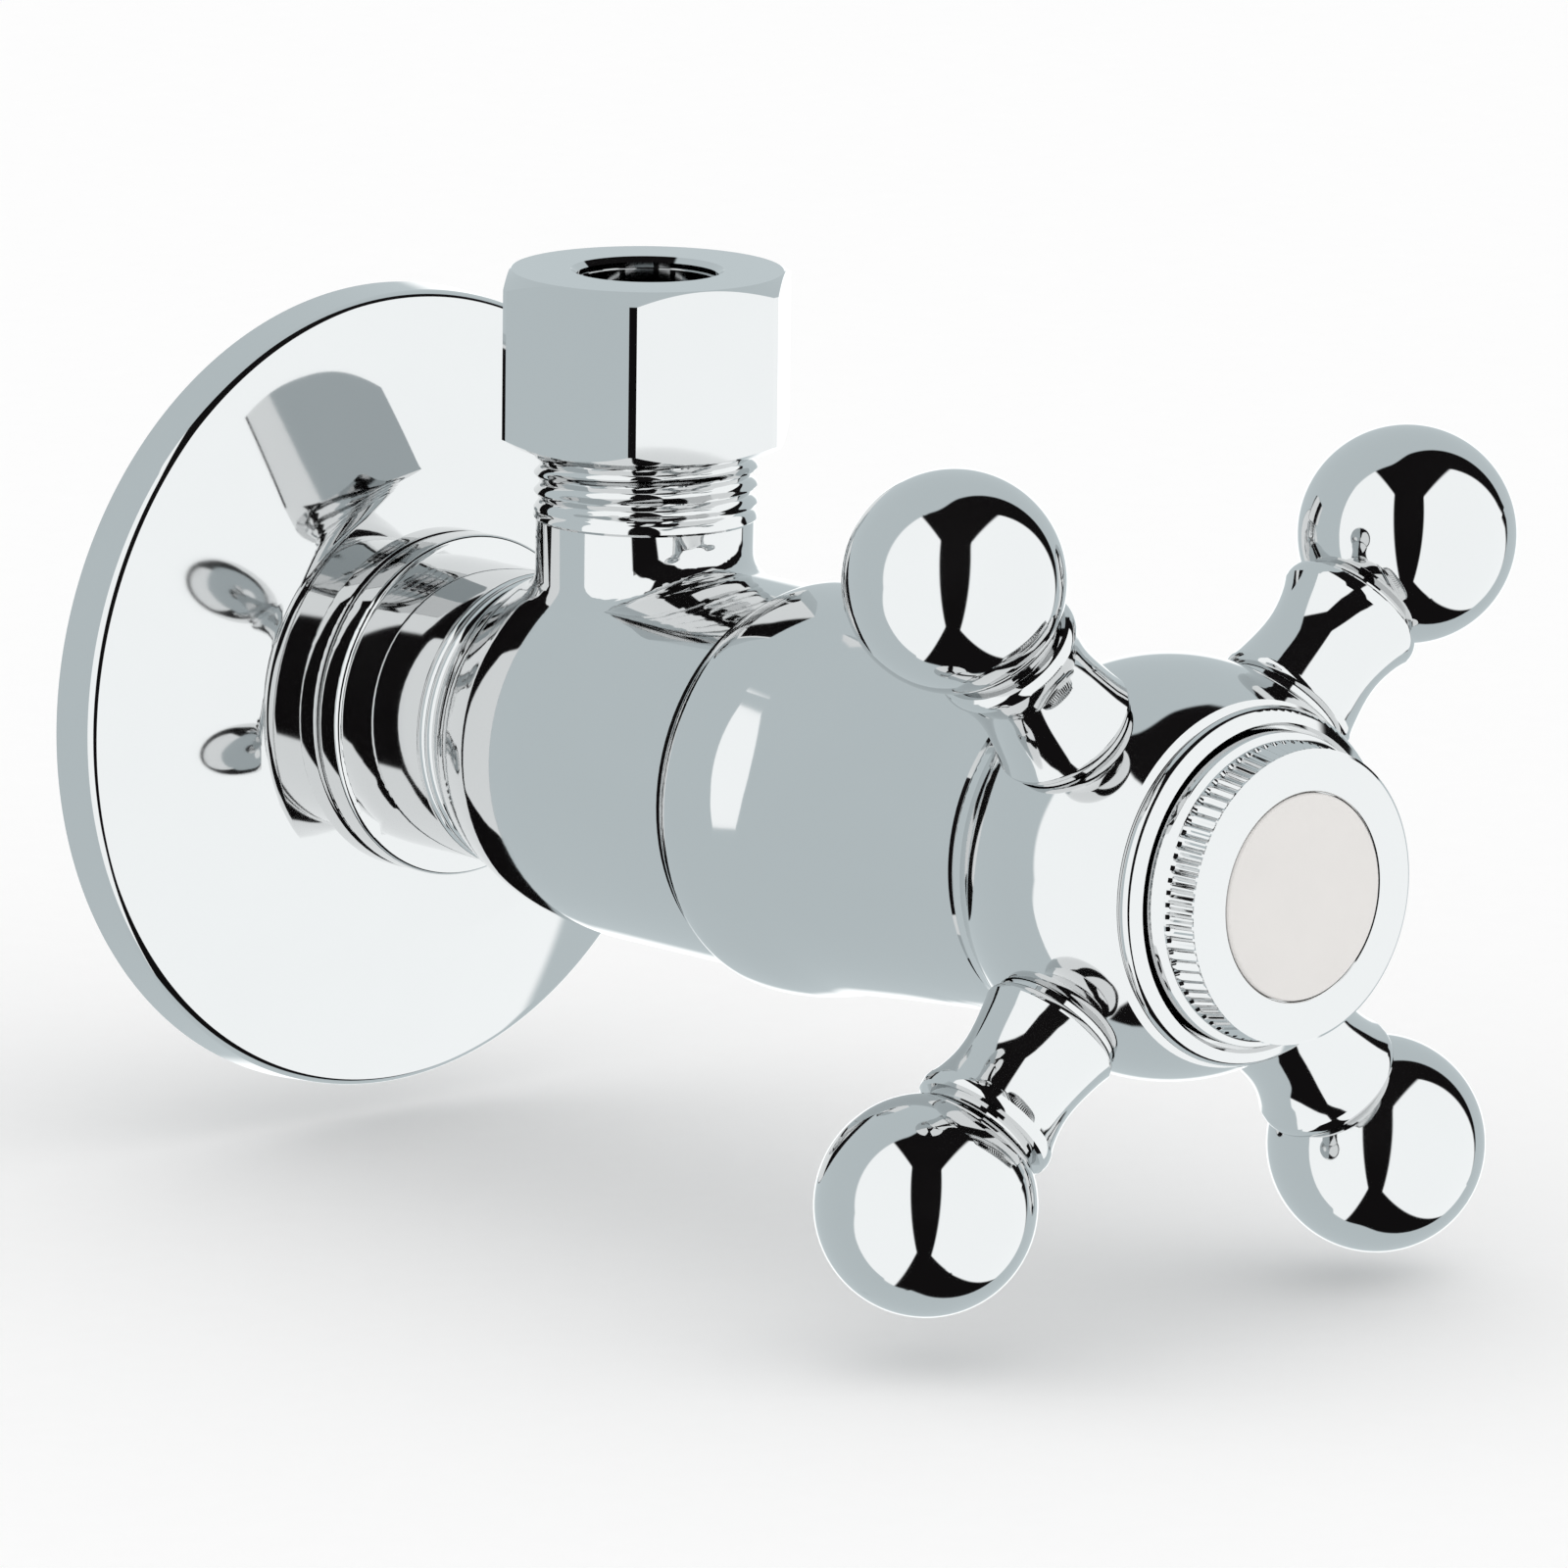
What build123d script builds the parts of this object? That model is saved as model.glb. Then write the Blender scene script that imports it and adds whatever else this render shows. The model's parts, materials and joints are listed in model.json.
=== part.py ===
"""Angle valve: the shut-off valve between a wall pipe and the supply tube of a tap.

Lengths are in millimetres. The valve axis runs along Y. The finished wall is the
plane y = 0, the wall pipe is on the +Y side and the user is on the -Y side. The
outlet points straight up, along +Z. "Depth" is the distance from the wall towards
the user, so a point at depth 30 has y = -30.
"""

from build123d import *
import math
import os

os.makedirs("parts", exist_ok=True)

# Threads, drawn as plain cylinders at the thread's major radius
INLET_THREAD_R = 10.48      # G 1/2, also the thread of the headwork
OUTLET_THREAD_R = 8.33      # G 3/8
STEM_THREAD_R = 4.0
ARM_THREAD_R = 3.0
BALL_THREAD_R = 2.5
SCREW_THREAD_R = 2.5
CAP_THREAD_R = 9.5

# Clearances between pieces that move on each other
RUNNING_GAP = 0.06
HEX_GAP = 0.04
END_PLAY = 0.05
TURNING_GAP = 0.4

# Valve body
SHANK_LENGTH = 15.0
FLANGE_DEPTH = 9.3
FLANGE_WIDTH = 2.4
FLANGE_R = 13.0
NECK_R = 11.1
NECK_RIDGES = 18.45
NECK_RIDGE_WIDTH = 0.85
SHOULDER_START = 20.4
BARREL_R = 14.35
BARREL_START = 34.0
BARREL_END = 49.0

# Wall rosette: a domed cover with a flat land round its hole, which the flange rests on
ROSETTE_R = 30.65
ROSETTE_WALL = 0.8
ROSETTE_HOLE_R = 11.1
ROSETTE_RIM_ROUND = 1.15
ROSETTE_RIM_SLOPE = 26.4    # degrees, where the dome leaves the rim
ROSETTE_TOP_SLOPE = 21.8    # degrees, where the dome meets the land
ROSETTE_DOME_ROUND = 155.0
ROSETTE_LAND_ROUND = 4.0
INLET_BORE_R = 5.5
SEAT_DEPTH = 25.0
SEAT_LIP_R = 7.0
CHAMBER_R = 9.3
CHAMBER_FLOOR = 24.2

# Outlet branch, its nut and its ring
OUTLET_DEPTH = 31.35
BRANCH_NECK_R = 8.15
BRANCH_THREAD_Z = 17.3
BRANCH_TOP_Z = 31.5
BRANCH_FILLET = 2.4
OUTLET_BORE_R = 4.2
TUBE_SOCKET_R = 5.1
TUBE_SOCKET_Z = 19.85
TUBE_SOCKET_LENGTH = 10.0
NUT_ACROSS_FLATS = 20.4
NUT_BOTTOM_Z = 23.0
NUT_TOP_Z = 36.0
NUT_MOUTH_R = 5.7
NUT_TURN = 42.8             # angle of one nut corner, seen from above
RING_R = 6.35
RING_BAND_TOP = 33.4
CONE_SLOPE = 0.577          # radius lost per millimetre on the sealing cones

# Handle centre, which the depths of the handle's pieces hang on
HANDLE_DEPTH = 87.87
HANDLE_TURN = 42.5          # angle of the first arm from +X, seen from the user

# Bonnet: the bell over the headwork, bulged at the body and tapered to the handle
BONNET_CREST_R = BARREL_R + 1.0
BONNET_CREST = 52.1
BONNET_INNER_R = BARREL_R - 0.75
BONNET_FRONT_R = 12.8
BONNET_MOUTH_R = 11.4
BONNET_END = HANDLE_DEPTH - 9.32
BONNET_WEB = 1.2
BONNET_WEB_FACE = 61.2

# Headwork: the brass insert that carries the spindle and guides the piston
HEADWORK_START = 39.0
GASKET_THICKNESS = 0.8
GASKET_R = BARREL_R - 2.05
HEADWORK_HEX_CORNER_R = BONNET_INNER_R - 0.2
HEADWORK_HEX = 2 * HEADWORK_HEX_CORNER_R - 2.8
HEADWORK_HEX_END = 54.8
HEADWORK_NOSE_R = 8.2
HEADWORK_NOSE_END = 62.4
HEADWORK_TOP_R = 7.4
HEADWORK_END = 64.6
GUIDE_HEX = 12.5
GUIDE_END = 54.05
JOURNAL_BORE_R = 5.05

# Spindle
SPINDLE_THREAD_START = 38.7
COLLAR_R = 6.0
COLLAR_START = 51.8
COLLAR_END = 53.5
SPLINE_R = 4.0
SPLINE_START = 66.2
SPINDLE_END = HANDLE_DEPTH - 3.97
SEAL_GROOVE_R = 3.75
SEAL_GROOVE_WIDTH = 1.7
SEAL_DEPTHS = (57.0, 61.0)
SEAL_SECTION_R = 0.63
CLIP_THICKNESS = 0.8
CLIP_R = 6.2
CLIP_OPENING = 5.0

# Piston with its rubber washer, drawn closed on the seat
PISTON_CUP_START = 27.6
PISTON_CUP_FLOOR = 29.0
PISTON_CUP_END = 30.5
PISTON_CUP_R = 7.4
PISTON_END = 46.0
PISTON_BORE_FLOOR = 33.0
SEAT_WASHER_R = 6.85
WASHER_SCREW_R = 1.6
WASHER_SCREW_HEAD_R = 3.2
WASHER_SCREW_HEAD = 2.1
WASHER_SCREW_END = 31.5

# Handle: hub, four arms with balls, index cap
HUB_R = 15.5
HUB_RIM_R = 13.32
HUB_REAR = BONNET_END + TURNING_GAP
HUB_BEZEL_R = 13.1
HUB_BEZEL_DEPTH = HANDLE_DEPTH + 8.83
HUB_MOUTH_R = 11.75
HUB_MOUTH_FLOOR = HANDLE_DEPTH + 8.13
HUB_MOUTH_DEPTH = HANDLE_DEPTH + 9.73
HUB_WEB_START = HANDLE_DEPTH - 3.87
HUB_WEB_END = HANDLE_DEPTH - 1.67
INSERT_R = 6.5
INSERT_START = HANDLE_DEPTH - 12.87
ARM_START = 14.0            # lengths of an arm are from the handle's centre
ARM_SEAT_R = 4.9
ARM_BASE_R = 5.3
ARM_BASE = 15.9
ARM_WAIST_R = 4.63
ARM_WAIST = 20.4
ARM_LIP_R = 5.42
ARM_END = 25.3
ARM_NECK_R = 4.4
BALL_CENTRE = 31.9
BALL_R = 8.04
HANDLE_SCREW_HEAD_R = 4.4
HANDLE_SCREW_HEAD = 2.8
CAP_START = HANDLE_DEPTH + 0.63
CAP_FLANGE_R = 11.45
CAP_FLANGE_END = HANDLE_DEPTH + 10.58
CAP_R = 10.9
CAP_FACE = HANDLE_DEPTH + 13.86
CAP_HOLLOW_R = 8.0
CAP_HOLLOW_END = CAP_FACE - 4.23
DISC_R = 7.55
DISC_GAP = 0.08
DISC_FLOOR = CAP_FACE - 1.33
DISC_FACE = CAP_FACE + 0.13

# Section planes: radius along local X, depth or height along local Y
SECTION = Plane(origin=(0, 0, 0), x_dir=(1, 0, 0), z_dir=(0, 0, -1))
OUTLET_SECTION = Plane(origin=(0, -OUTLET_DEPTH, 0), x_dir=(1, 0, 0), z_dir=(0, -1, 0))
OUTLET_AXIS = Axis((0, -OUTLET_DEPTH, 0), (0, 0, 1))

BORE_START = -SHANK_LENGTH
GASKET_FACE = BARREL_END + GASKET_THICKNESS
JOURNAL_R = JOURNAL_BORE_R - RUNNING_GAP
WASHER_FACE = SEAT_DEPTH + END_PLAY


def depth_plane(depth):
    """Plane across the valve axis at a depth, facing the user."""
    return Plane(origin=(0, -depth, 0), x_dir=(1, 0, 0), z_dir=(0, -1, 0))


def keep(piece, name):
    """Label a finished piece and write it."""
    piece.part.label = name
    export_step(piece.part, f"parts/{name}.step")


def tube(inner_r, outer_r, start, end, edge=0.0):
    """A ring round the valve axis between two depths, with its outer edges broken."""
    with BuildPart() as ring:
        with BuildSketch(depth_plane(start)):
            Circle(outer_r)
            Circle(inner_r, mode=Mode.SUBTRACT)
        extrude(amount=end - start)
        if edge:
            chamfer(ring.edges().filter_by(GeomType.CIRCLE).sort_by(SortBy.RADIUS)[-2:], edge)
    return ring


def wall_rosette():
    """Domed cover: a rounded rim on the wall, a dome, and the land that meets the flange."""
    rim_cos = math.cos(math.radians(ROSETTE_RIM_SLOPE))
    top_cos = math.cos(math.radians(ROSETTE_TOP_SLOPE))
    dome_rise = ROSETTE_DOME_ROUND * (top_cos - rim_cos)
    land_rise = ROSETTE_LAND_ROUND * (1 - top_cos)
    rim_side = FLANGE_DEPTH - ROSETTE_RIM_ROUND * rim_cos - dome_rise - land_rise
    dome_turn = ROSETTE_RIM_SLOPE - ROSETTE_TOP_SLOPE
    with BuildPart() as rosette:
        with BuildSketch(SECTION):
            with BuildLine():
                side = Line((ROSETTE_R, 0), (ROSETTE_R - 0.2, rim_side))
                rim = JernArc(side @ 1, (0, 1), ROSETTE_RIM_ROUND, 90 - ROSETTE_RIM_SLOPE)
                dome = JernArc(rim @ 1, rim % 1, ROSETTE_DOME_ROUND, dome_turn)
                land_round = JernArc(dome @ 1, dome % 1, ROSETTE_LAND_ROUND, ROSETTE_TOP_SLOPE)
                land = Line(land_round @ 1, (ROSETTE_HOLE_R, FLANGE_DEPTH))
                edge = Line(land @ 1, land @ 1 - Vector(0, ROSETTE_WALL))
                inside_land = Line(edge @ 1, land_round @ 1 - Vector(0, ROSETTE_WALL))
                inside_round = Line(inside_land @ 1, dome @ 1 - Vector(0.3, ROSETTE_WALL))
                inside_dome = Line(inside_round @ 1, rim @ 1 - Vector(0.35, ROSETTE_WALL))
                inside_rim = Line(inside_dome @ 1, side @ 1 - Vector(ROSETTE_WALL, 0.4))
                inside = Line(inside_rim @ 1, (ROSETTE_R - ROSETTE_WALL, 0))
                Line(inside @ 1, side @ 0)
            make_face()
        revolve(axis=Axis.Y)
    return rosette


def valve_body():
    """Body: threaded shank, flange, straight neck, barrel and the upright outlet branch."""
    flange_round = 0.5
    flange_end = FLANGE_DEPTH + FLANGE_WIDTH
    relief_depth = FLANGE_DEPTH - 1.8
    relief_r = INLET_THREAD_R - 0.9
    thread_chamfer = 1.0
    ridge_r = NECK_R + 0.12
    second_ridge = NECK_RIDGES + NECK_RIDGE_WIDTH
    swell = BARREL_R - NECK_R
    run = BARREL_START - SHOULDER_START
    with BuildPart() as body:
        # Outside of shank, neck and barrel
        with BuildSketch(SECTION):
            with BuildLine():
                shank = Polyline(
                    (0, BORE_START),
                    (INLET_THREAD_R - thread_chamfer, BORE_START),
                    (INLET_THREAD_R, BORE_START + thread_chamfer),
                    (INLET_THREAD_R, relief_depth - 0.9),
                    (relief_r, relief_depth),
                    (relief_r, FLANGE_DEPTH),
                    (FLANGE_R - flange_round, FLANGE_DEPTH),
                )
                rear_round = JernArc(shank @ 1, (1, 0), flange_round, 90)
                flange = Line(rear_round @ 1, (FLANGE_R, flange_end - flange_round))
                front_round = JernArc(flange @ 1, (0, 1), flange_round, 90)
                step = Line(front_round @ 1, (NECK_R, flange_end))
                neck = Line(step @ 1, (NECK_R, NECK_RIDGES))
                ridge_1 = ThreePointArc(
                    neck @ 1, (ridge_r, NECK_RIDGES + NECK_RIDGE_WIDTH / 2), (NECK_R, second_ridge)
                )
                ridge_2 = ThreePointArc(
                    ridge_1 @ 1,
                    (ridge_r, second_ridge + NECK_RIDGE_WIDTH / 2),
                    (NECK_R, second_ridge + NECK_RIDGE_WIDTH),
                )
                groove = Line(ridge_2 @ 1, (NECK_R, SHOULDER_START))
                shoulder = Spline(
                    groove @ 1,
                    (NECK_R + swell * 0.4, SHOULDER_START + run * 0.19),
                    (NECK_R + swell * 0.68, SHOULDER_START + run * 0.38),
                    (NECK_R + swell * 0.85, SHOULDER_START + run * 0.56),
                    (NECK_R + swell * 0.955, SHOULDER_START + run * 0.78),
                    (BARREL_R, BARREL_START),
                    tangents=[(0.9, 1), (0, 1)],
                )
                barrel = Line(shoulder @ 1, (BARREL_R, BARREL_END - 0.3))
                mouth = Line(barrel @ 1, (BARREL_R - 0.3, BARREL_END))
                Polyline(mouth @ 1, (0, BARREL_END), shank @ 0)
            make_face()
        revolve(axis=Axis.Y)
        # Outlet branch, blended into the barrel
        with BuildSketch(Plane(origin=(0, -OUTLET_DEPTH, 0))):
            Circle(BRANCH_NECK_R)
        extrude(amount=BRANCH_THREAD_Z)
        fillet(branch_root(body), BRANCH_FILLET)
        with BuildSketch(OUTLET_SECTION):
            with BuildLine():
                Polyline(
                    (0, BRANCH_THREAD_Z),
                    (BRANCH_NECK_R, BRANCH_THREAD_Z),
                    (OUTLET_THREAD_R, BRANCH_THREAD_Z + 0.2),
                    (OUTLET_THREAD_R, BRANCH_TOP_Z - 0.8),
                    (OUTLET_THREAD_R - 0.8, BRANCH_TOP_Z),
                    (0, BRANCH_TOP_Z),
                    close=True,
                )
            make_face()
        revolve(axis=OUTLET_AXIS)
        # Waterway: inlet bore, raised seat, chamber and the thread for the headwork
        with BuildSketch(SECTION):
            with BuildLine():
                Polyline(
                    (0, BORE_START),
                    (INLET_BORE_R + 0.5, BORE_START),
                    (INLET_BORE_R + 0.5, BORE_START + 12),
                    (INLET_BORE_R, BORE_START + 12.5),
                    (INLET_BORE_R, SEAT_DEPTH - 0.3),
                    (INLET_BORE_R + 0.3, SEAT_DEPTH),
                    (SEAT_LIP_R - 0.4, SEAT_DEPTH),
                    (SEAT_LIP_R, CHAMBER_FLOOR),
                    (CHAMBER_R, CHAMBER_FLOOR),
                    (CHAMBER_R, HEADWORK_START - 1.2),
                    (INLET_THREAD_R, HEADWORK_START),
                    (INLET_THREAD_R, BARREL_END),
                    (0, BARREL_END),
                    close=True,
                )
            make_face()
        revolve(axis=Axis.Y, mode=Mode.SUBTRACT)
        # Outlet passage: water bore, tube socket and the cone for the sealing ring
        socket_top = TUBE_SOCKET_Z + TUBE_SOCKET_LENGTH
        cone_r = TUBE_SOCKET_R + (BRANCH_TOP_Z - socket_top) * CONE_SLOPE
        with BuildSketch(OUTLET_SECTION):
            with BuildLine():
                Polyline(
                    (0, 0),
                    (OUTLET_BORE_R, 0),
                    (OUTLET_BORE_R, TUBE_SOCKET_Z),
                    (TUBE_SOCKET_R, TUBE_SOCKET_Z),
                    (TUBE_SOCKET_R, socket_top),
                    (cone_r, BRANCH_TOP_Z),
                    (0, BRANCH_TOP_Z),
                    close=True,
                )
            make_face()
        revolve(axis=OUTLET_AXIS, mode=Mode.SUBTRACT)
    return body


def branch_root(body):
    """The closed edge where the branch leaves the barrel."""
    walls = body.faces().filter_by(GeomType.CYLINDER)
    branch = walls.sort_by(lambda wall: abs(wall.radius - BRANCH_NECK_R))[0]
    return [edge for edge in branch.edges() if edge.center().Z < BRANCH_THREAD_Z - 1.0
            and edge.geom_type != GeomType.LINE]


def compression_nut():
    """Hexagon nut with rounded corners and a lathe-turned chamfer at both ends."""
    corner_r = NUT_ACROSS_FLATS / math.sqrt(3)
    flat_r = NUT_ACROSS_FLATS / 2
    chamfer_height = (corner_r - flat_r) * 0.62
    thread_top = 32.3
    cone_start_r = 6.95
    cone_start = RING_BAND_TOP - (cone_start_r - RING_R) / CONE_SLOPE
    cone_end_r = 5.3
    cone_end = RING_BAND_TOP + (RING_R - cone_end_r) / CONE_SLOPE
    with BuildPart() as nut:
        with BuildSketch(Plane(origin=(0, -OUTLET_DEPTH, NUT_BOTTOM_Z))):
            RegularPolygon(flat_r, 6, major_radius=False, rotation=NUT_TURN)
        extrude(amount=NUT_TOP_Z - NUT_BOTTOM_Z)
        fillet(nut.edges().filter_by(Axis.Z), 0.4)
        with BuildSketch(OUTLET_SECTION):
            with BuildLine():
                Polyline(
                    (0, NUT_BOTTOM_Z),
                    (flat_r - 0.1, NUT_BOTTOM_Z),
                    (corner_r, NUT_BOTTOM_Z + chamfer_height),
                    (corner_r, NUT_TOP_Z - chamfer_height),
                    (flat_r - 0.1, NUT_TOP_Z),
                    (0, NUT_TOP_Z),
                    close=True,
                )
            make_face()
        revolve(axis=OUTLET_AXIS, mode=Mode.INTERSECT)
        with BuildSketch(OUTLET_SECTION):
            with BuildLine():
                Polyline(
                    (0, NUT_BOTTOM_Z),
                    (OUTLET_THREAD_R + 0.7, NUT_BOTTOM_Z),
                    (OUTLET_THREAD_R, NUT_BOTTOM_Z + 0.7),
                    (OUTLET_THREAD_R, thread_top),
                    (cone_start_r, cone_start),
                    (cone_end_r, cone_end),
                    (cone_end_r, NUT_TOP_Z - 0.4),
                    (NUT_MOUTH_R, NUT_TOP_Z),
                    (0, NUT_TOP_Z),
                    close=True,
                )
            make_face()
        revolve(axis=OUTLET_AXIS, mode=Mode.SUBTRACT)
    return nut


def compression_ring():
    """Double-cone ring that the nut squeezes onto the supply tube."""
    socket_top = TUBE_SOCKET_Z + TUBE_SOCKET_LENGTH
    end_r = TUBE_SOCKET_R + 0.25
    low = socket_top + (end_r - TUBE_SOCKET_R) / CONE_SLOPE
    band_start = socket_top + (RING_R - TUBE_SOCKET_R) / CONE_SLOPE
    high = RING_BAND_TOP + (RING_R - end_r) / CONE_SLOPE
    with BuildPart() as ring:
        with BuildSketch(OUTLET_SECTION):
            with BuildLine():
                Polyline(
                    (TUBE_SOCKET_R, low),
                    (end_r, low),
                    (RING_R, band_start),
                    (RING_R, RING_BAND_TOP),
                    (end_r, high),
                    (TUBE_SOCKET_R, high),
                    close=True,
                )
            make_face()
        revolve(axis=OUTLET_AXIS)
    return ring


def headwork_shell():
    """Brass insert: thread into the body, hexagon, nose, and the hexagon guide inside."""
    with BuildPart() as shell:
        with BuildSketch(depth_plane(GASKET_FACE)):
            RegularPolygon(HEADWORK_HEX / 2, 6, major_radius=False)
            Circle(HEADWORK_HEX_CORNER_R, mode=Mode.INTERSECT)
        extrude(amount=HEADWORK_HEX_END - GASKET_FACE)
        with BuildSketch(SECTION):
            with BuildLine():
                Polyline(
                    (0, HEADWORK_START),
                    (INLET_THREAD_R - 0.8, HEADWORK_START),
                    (INLET_THREAD_R, HEADWORK_START + 0.8),
                    (INLET_THREAD_R, GASKET_FACE),
                    (HEADWORK_NOSE_R, HEADWORK_HEX_END),
                    (HEADWORK_NOSE_R, HEADWORK_NOSE_END),
                    (HEADWORK_TOP_R, HEADWORK_NOSE_END + 0.6),
                    (HEADWORK_TOP_R, HEADWORK_END),
                    (0, HEADWORK_END),
                    close=True,
                )
            make_face()
        revolve(axis=Axis.Y)
        with BuildSketch(depth_plane(HEADWORK_START)):
            RegularPolygon(GUIDE_HEX / 2, 6, major_radius=False)
        extrude(amount=GUIDE_END - HEADWORK_START, mode=Mode.SUBTRACT)
        with BuildSketch(depth_plane(GUIDE_END)):
            Circle(JOURNAL_BORE_R)
        extrude(amount=HEADWORK_END - GUIDE_END, mode=Mode.SUBTRACT)
    return shell


def spindle():
    """Turning stem: driving thread, thrust collar, sealed journal and splined end."""
    clip_start = HEADWORK_END + END_PLAY
    groove = SEAL_GROOVE_WIDTH / 2
    with BuildPart() as stem:
        with BuildSketch(SECTION):
            with BuildLine():
                Polyline(
                    (0, SPINDLE_THREAD_START),
                    (STEM_THREAD_R - RUNNING_GAP - 0.6, SPINDLE_THREAD_START),
                    (STEM_THREAD_R - RUNNING_GAP, SPINDLE_THREAD_START + 0.6),
                    (STEM_THREAD_R - RUNNING_GAP, COLLAR_START),
                    (COLLAR_R, COLLAR_START),
                    (COLLAR_R, COLLAR_END),
                    (JOURNAL_R, COLLAR_END),
                    (JOURNAL_R, clip_start),
                    (SPLINE_R, clip_start),
                    (SPLINE_R, clip_start + CLIP_THICKNESS),
                    (JOURNAL_R, clip_start + CLIP_THICKNESS),
                    (JOURNAL_R, SPLINE_START),
                    (SPLINE_R, SPLINE_START + 0.4),
                    (SPLINE_R, SPINDLE_END - 0.4),
                    (SPLINE_R - 0.4, SPINDLE_END),
                    (0, SPINDLE_END),
                    close=True,
                )
            make_face()
        revolve(axis=Axis.Y)
        for depth in SEAL_DEPTHS:
            with BuildSketch(depth_plane(depth - groove)):
                Circle(JOURNAL_R + 1)
                Circle(SEAL_GROOVE_R, mode=Mode.SUBTRACT)
            extrude(amount=SEAL_GROOVE_WIDTH, mode=Mode.SUBTRACT)
        with BuildSketch(depth_plane(SPINDLE_END - 12)):
            Circle(SCREW_THREAD_R)
        extrude(amount=12, mode=Mode.SUBTRACT)
    return stem


def seal_ring(depth):
    """O-ring in one of the spindle's grooves."""
    with BuildPart() as ring:
        with BuildSketch(SECTION):
            with Locations((SEAL_GROOVE_R + 0.01 + SEAL_SECTION_R, depth)):
                Circle(SEAL_SECTION_R)
        revolve(axis=Axis.Y)
    return ring


def retaining_clip():
    """Open spring clip that stops the spindle from dropping into the headwork."""
    start = HEADWORK_END + END_PLAY
    with BuildPart() as clip:
        with BuildSketch(depth_plane(start)):
            Circle(CLIP_R)
            Circle(SPLINE_R, mode=Mode.SUBTRACT)
            with Locations((0, -CLIP_R)):
                Rectangle(CLIP_OPENING, 2 * (CLIP_R - SPLINE_R) + 1, mode=Mode.SUBTRACT)
        extrude(amount=CLIP_THICKNESS)
    return clip


def piston():
    """Hexagonal slider: the spindle's thread moves it, its cup holds the seat washer."""
    with BuildPart() as slider:
        with BuildSketch(depth_plane(PISTON_CUP_END)):
            RegularPolygon(GUIDE_HEX / 2 - HEX_GAP, 6, major_radius=False)
        extrude(amount=PISTON_END - PISTON_CUP_END)
        chamfer(slider.faces().sort_by(Axis.Y)[0].edges(), 0.4)
        with BuildSketch(depth_plane(PISTON_CUP_START)):
            Circle(PISTON_CUP_R)
        extrude(amount=PISTON_CUP_END - PISTON_CUP_START)
        with BuildSketch(depth_plane(PISTON_CUP_START)):
            Circle(SEAT_WASHER_R)
        extrude(amount=PISTON_CUP_FLOOR - PISTON_CUP_START, mode=Mode.SUBTRACT)
        with BuildSketch(depth_plane(PISTON_CUP_FLOOR)):
            Circle(WASHER_SCREW_R)
        extrude(amount=WASHER_SCREW_END - PISTON_CUP_FLOOR, mode=Mode.SUBTRACT)
        with BuildSketch(depth_plane(PISTON_BORE_FLOOR)):
            Circle(STEM_THREAD_R)
        extrude(amount=PISTON_END - PISTON_BORE_FLOOR, mode=Mode.SUBTRACT)
    return slider


def washer_screw():
    """Slotted screw that holds the seat washer in the piston's cup."""
    head_start = WASHER_FACE - WASHER_SCREW_HEAD
    with BuildPart() as screw:
        with BuildSketch(depth_plane(head_start)):
            Circle(WASHER_SCREW_HEAD_R)
        extrude(amount=WASHER_SCREW_HEAD)
        fillet(screw.edges().sort_by(Axis.Y)[-1], 0.5)
        with BuildSketch(depth_plane(WASHER_FACE)):
            Circle(WASHER_SCREW_R)
        extrude(amount=WASHER_SCREW_END - WASHER_FACE)
        with BuildSketch(depth_plane(head_start)):
            Rectangle(2 * WASHER_SCREW_HEAD_R, 0.9)
        extrude(amount=1.0, mode=Mode.SUBTRACT)
    return screw


def bonnet():
    """Bell held on the headwork's nose by its web: a bulge at the body, then a long taper.

    The flank falls fastest just in front of the crest. Each pair is a share of the way
    from the crest to the front edge, first along the axis and then in radius.
    """
    edge = 0.25
    flank = ((0.07, 0.05), (0.13, 0.15), (0.19, 0.29), (0.26, 0.42), (0.32, 0.49), (0.45, 0.61), (0.68, 0.79))
    bell_end = BONNET_END - edge
    length = bell_end - BONNET_CREST
    drop = BONNET_CREST_R - BONNET_FRONT_R
    web_back = BONNET_WEB_FACE - BONNET_WEB
    throat_r = BONNET_INNER_R - 0.9
    with BuildPart() as cover:
        with BuildSketch(SECTION):
            with BuildLine():
                foot = Line((BONNET_INNER_R, BARREL_END), (BARREL_R - 0.3, BARREL_END))
                bulge = Spline(
                    foot @ 1,
                    (BARREL_R + 0.4, BARREL_END + 0.5),
                    (BONNET_CREST_R - 0.2, BARREL_END + 1.25),
                    (BONNET_CREST_R - 0.02, BARREL_END + 2.2),
                    (BONNET_CREST_R, BONNET_CREST),
                    *[(BONNET_CREST_R - drop * fall, BONNET_CREST + length * way) for way, fall in flank],
                    (BONNET_FRONT_R, bell_end),
                )
                Polyline(
                    bulge @ 1,
                    (BONNET_FRONT_R - edge, BONNET_END),
                    (BONNET_MOUTH_R, BONNET_END),
                    (BONNET_MOUTH_R, BONNET_END - 2.5),
                    (throat_r - 0.1, BONNET_WEB_FACE),
                    (HEADWORK_NOSE_R, BONNET_WEB_FACE),
                    (HEADWORK_NOSE_R, web_back),
                    (throat_r, web_back),
                    (throat_r, web_back - 1.0),
                    (BONNET_INNER_R, HEADWORK_HEX_END + 0.8),
                    foot @ 0,
                )
            make_face()
        revolve(axis=Axis.Y)
    return cover


def arm_plane(angle):
    """Plane through the handle's centre with local Y along an arm."""
    turn = math.radians(angle)
    return Plane(
        origin=(0, -HANDLE_DEPTH, 0),
        x_dir=(0, -1, 0),
        z_dir=(-math.sin(turn), 0, math.cos(turn)),
    )


def arm_axis(angle):
    """Axis of an arm, from the handle's centre outwards."""
    turn = math.radians(angle)
    return Axis((0, -HANDLE_DEPTH, 0), (math.cos(turn), 0, math.sin(turn)))


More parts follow.
